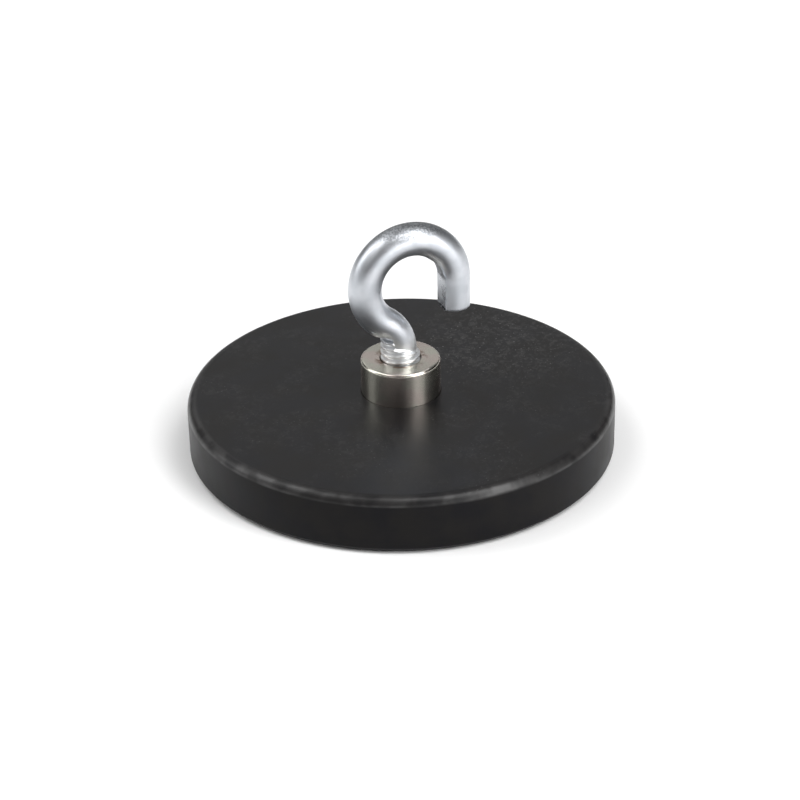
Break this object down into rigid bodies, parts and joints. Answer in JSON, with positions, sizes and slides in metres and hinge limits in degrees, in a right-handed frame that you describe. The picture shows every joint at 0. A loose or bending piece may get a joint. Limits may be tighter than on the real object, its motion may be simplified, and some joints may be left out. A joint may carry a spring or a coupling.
{
  "type": "pot magnet",
  "caption": "Round rubber-coated pot magnet with a threaded bushing on top and an open wire hook screwed into it; grips steel with its flat underside and hangs things from the hook.",
  "frame": {"origin": "centre of the flat underside, the face that grips", "axes": "+Z out of the top face, along the bushing and the hook's shank; the hook lies flat in the XZ plane with its open end towards +X"},
  "size_m": [0.043, 0.043, 0.0239],
  "materials": {
    "black_rubber": "matt moulded rubber",
    "plate_steel": "bare pressed steel",
    "nickel_plating": "bright nickel plate on turned steel",
    "zinc_plating": "satin blue-white zinc plate",
    "magnet_plating": "nickel-plated magnet alloy"
  },
  "bodies": {
    "root": {"rubber_jacket": "black_rubber", "steel_plate": "plate_steel", "threaded_bushing": "nickel_plating", "open_hook": "zinc_plating", "magnet_1": "magnet_plating", "magnet_2": "magnet_plating", "magnet_3": "magnet_plating", "magnet_4": "magnet_plating", "magnet_5": "magnet_plating", "magnet_6": "magnet_plating"}
  },
  "joints": []
}
